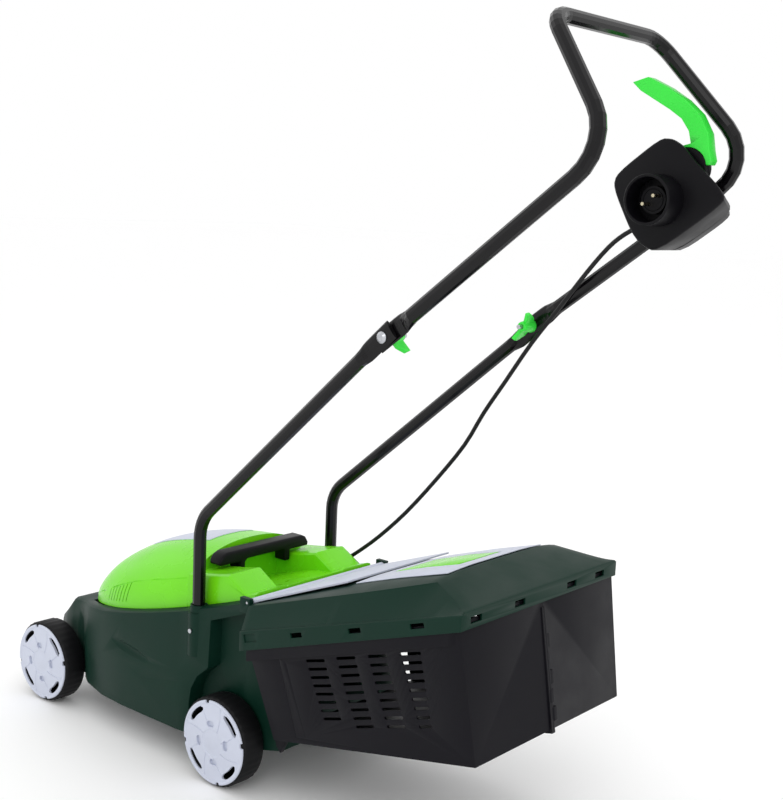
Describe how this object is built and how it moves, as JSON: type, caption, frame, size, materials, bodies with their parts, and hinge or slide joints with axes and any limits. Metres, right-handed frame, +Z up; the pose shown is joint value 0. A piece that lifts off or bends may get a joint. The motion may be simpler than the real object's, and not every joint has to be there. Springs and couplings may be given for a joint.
{
  "type": "electric rotary lawn mower",
  "caption": "Corded electric rotary lawn mower on four wheels, with a folding loop handle, a switch box with lever and a rigid grass box behind.",
  "frame": {"origin": "on the ground under the middle of the whole mower's box", "axes": "+Z up, the front faces -Y, the mower's left side is +X"},
  "size_m": [0.3996, 1.149, 1.1359],
  "materials": {
    "dark_green_shell": "moulded polypropylene, fine satin texture, dark bottle green",
    "lime_hood": "glossy moulded plastic, lime green",
    "spring_green_control": "moulded plastic, bright spring green",
    "lime_grip": "moulded plastic, lime green",
    "pale_grey_trim": "moulded plastic, pale cool grey",
    "hubcap_grey": "moulded wheel cap, pale cool grey",
    "black_moulding": "moulded plastic, soft black",
    "basket_black": "moulded plastic, black, slotted panels",
    "tyre_black": "moulded plastic wheel with a ribbed tread, black",
    "black_paint": "gloss black stoved paint on steel tube",
    "zinc_steel": "zinc plated steel",
    "cast_aluminium": "cast aluminium, sand cast",
    "inlet_brass": "nickel plated brass pins",
    "cable_pvc": "black PVC cable sheath"
  },
  "bodies": {
    "chassis": {"deck": "dark_green_shell", "hood": "lime_hood", "hood_panel": "pale_grey_trim", "carry_handle": "black_moulding", "motor_can": "cast_aluminium", "lower_bearing": "zinc_steel", "upper_bearing": "zinc_steel", "lower_tube_left": "black_paint", "lower_tube_right": "black_paint", "socket_screw_left": "zinc_steel", "socket_screw_right": "zinc_steel", "flap_pin": "zinc_steel", "lead": "cable_pvc", "lead_gland": "black_moulding"},
    "rotor": {"motor_shaft": "zinc_steel", "impeller": "black_moulding", "blade_hub": "cast_aluminium", "blade": "zinc_steel", "blade_bolt": "zinc_steel"},
    "front_axle_set": {"front_axle": "zinc_steel", "axle_nut_front_left": "zinc_steel", "axle_nut_front_right": "zinc_steel", "front_spacer_left": "black_moulding", "front_spacer_right": "black_moulding"},
    "rear_axle_set": {"rear_axle": "zinc_steel", "axle_nut_rear_left": "zinc_steel", "axle_nut_rear_right": "zinc_steel"},
    "deflector": {"flap": "pale_grey_trim"},
    "grass_box": {"box_left": "basket_black", "box_right": "basket_black", "box_lid": "dark_green_shell", "lid_trim": "pale_grey_trim", "box_grip": "lime_grip"},
    "upper_handle": {"upper_tube": "black_paint", "carriage_bolt_left": "zinc_steel", "carriage_bolt_right": "zinc_steel", "switch_case_inner": "black_moulding", "switch_case_outer": "black_moulding", "inlet_shroud": "black_moulding", "inlet_pin_front": "inlet_brass", "inlet_pin_rear": "inlet_brass", "lever_pin": "zinc_steel", "lever_spring": "zinc_steel", "microswitch": "black_moulding"},
    "left_wing_nut": {"wing_nut_left": "spring_green_control"},
    "right_wing_nut": {"wing_nut_right": "spring_green_control"},
    "switch_lever": {"lever": "spring_green_control", "lever_drum": "black_moulding"},
    "button": {"safety_button": "spring_green_control"},
    "front_left_wheel": {"wheel_front_left": "tyre_black", "hubcap_front_left": "hubcap_grey"},
    "front_right_wheel": {"wheel_front_right": "tyre_black", "hubcap_front_right": "hubcap_grey"},
    "rear_left_wheel": {"wheel_rear_left": "tyre_black", "hubcap_rear_left": "hubcap_grey"},
    "rear_right_wheel": {"wheel_rear_right": "tyre_black", "hubcap_rear_right": "hubcap_grey"}
  },
  "joints": [
    {"name": "rotor_spin", "type": "hinge", "parent": "chassis", "child": "rotor", "pos_m": [0.00675, -0.2975, 0.068], "axis": [0, 0, 1], "continuous": true},
    {"name": "front_axle_lift", "type": "slide", "parent": "chassis", "child": "front_axle_set", "axis": [0, 0, 1], "range_m": [0, 0.035]},
    {"name": "rear_axle_lift", "type": "slide", "parent": "chassis", "child": "rear_axle_set", "axis": [0, 0, 1], "range_m": [0, 0.035]},
    {"name": "front_left_wheel_spin", "type": "hinge", "parent": "front_axle_set", "child": "front_left_wheel", "pos_m": [0.12655, -0.5045, 0.07], "axis": [1, 0, 0], "continuous": true},
    {"name": "front_right_wheel_spin", "type": "hinge", "parent": "front_axle_set", "child": "front_right_wheel", "pos_m": [-0.11305, -0.5045, 0.07], "axis": [1, 0, 0], "continuous": true},
    {"name": "rear_left_wheel_spin", "type": "hinge", "parent": "rear_axle_set", "child": "rear_left_wheel", "pos_m": [0.14445, -0.0425, 0.07], "axis": [1, 0, 0], "continuous": true},
    {"name": "rear_right_wheel_spin", "type": "hinge", "parent": "rear_axle_set", "child": "rear_right_wheel", "pos_m": [-0.13095, -0.0425, 0.07], "axis": [1, 0, 0], "continuous": true},
    {"name": "flap_swing", "type": "hinge", "parent": "chassis", "child": "deflector", "pos_m": [0.00675, 0.0015, 0.2965], "axis": [1, 0, 0], "range_deg": [0, 65]},
    {"name": "grass_box_slide", "type": "slide", "parent": "chassis", "child": "grass_box", "axis": [0, 0.9501, 0.312], "range_m": [0, 0.35]},
    {"name": "handle_fold", "type": "hinge", "parent": "chassis", "child": "upper_handle", "pos_m": [0.00675, 0.2589, 0.7199], "axis": [1, 0, 0], "range_deg": [0, 150], "deforming": ["lead"]},
    {"name": "wing_nut_left_spin", "type": "hinge", "parent": "upper_handle", "child": "left_wing_nut", "pos_m": [0.15675, 0.2589, 0.7199], "axis": [1, 0, 0], "continuous": true},
    {"name": "wing_nut_right_spin", "type": "hinge", "parent": "upper_handle", "child": "right_wing_nut", "pos_m": [-0.14325, 0.2589, 0.7199], "axis": [1, 0, 0], "continuous": true},
    {"name": "lever_pull", "type": "hinge", "parent": "upper_handle", "child": "switch_lever", "pos_m": [-0.13925, 0.51128, 0.9564], "axis": [-1, 0, 0], "range_deg": [0, 15], "stiffness_Nm_per_rad": 3, "springref_deg": -14.32},
    {"name": "safety_button_press", "type": "slide", "parent": "upper_handle", "child": "button", "axis": [1, 0, 0], "range_m": [0, 0.0025], "stiffness_N_per_m": 600, "springref_m": -0.002}
  ]
}
